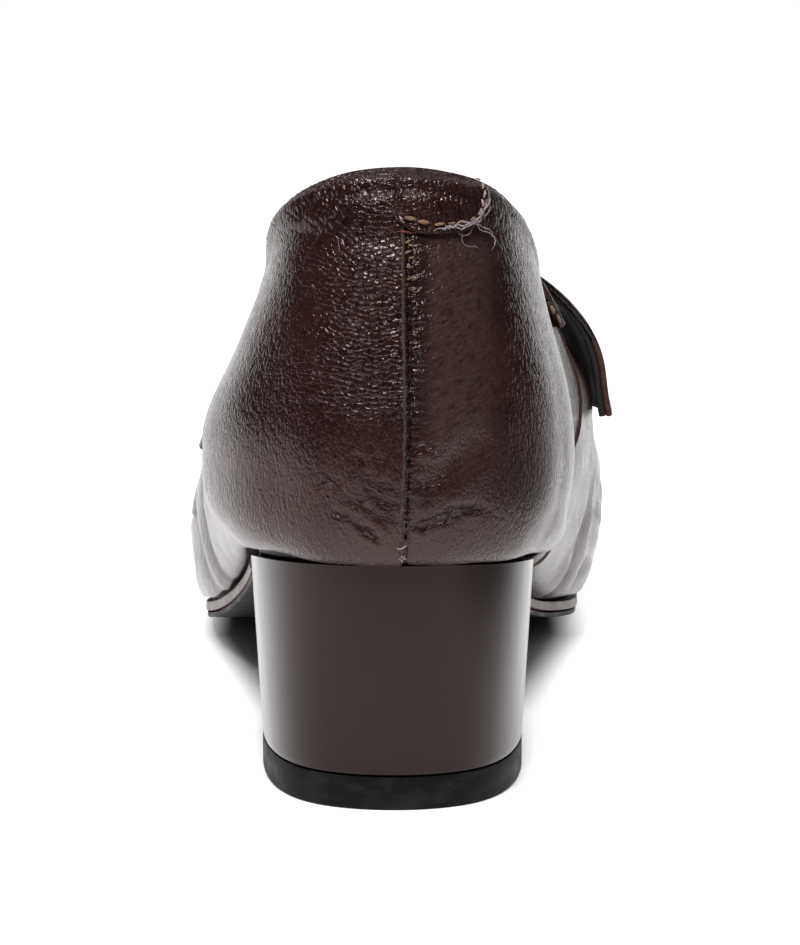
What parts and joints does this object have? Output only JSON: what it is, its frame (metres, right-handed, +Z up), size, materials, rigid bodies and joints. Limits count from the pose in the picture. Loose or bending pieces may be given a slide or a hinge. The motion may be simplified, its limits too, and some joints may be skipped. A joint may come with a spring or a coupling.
{
  "type": "quilted heeled loafer",
  "caption": "Left heeled loafer: hollow leather upper with a raised quilted apron and a saddle strap, on a thin sole and a covered block heel.",
  "frame": {"origin": "centre of the top piece's ground face, under the heel", "axes": "+Y from heel to toe, +X to the medial side, +Z up"},
  "size_m": [0.0842, 0.2555, 0.1052],
  "materials": {
    "leather": "glazed, crackled goatskin",
    "quilted_leather": "glazed, quilted goatskin",
    "lining": "matt, unglazed",
    "sole_edge": "burnished edge",
    "rubber": "matt",
    "heel_lacquer": "smooth lacquer"
  },
  "bodies": {
    "root": {"upper": "leather", "apron": "quilted_leather", "strap": "leather", "insole": "lining", "midsole": "sole_edge", "outsole": "rubber", "heel": "heel_lacquer", "top_piece": "rubber"}
  },
  "joints": []
}
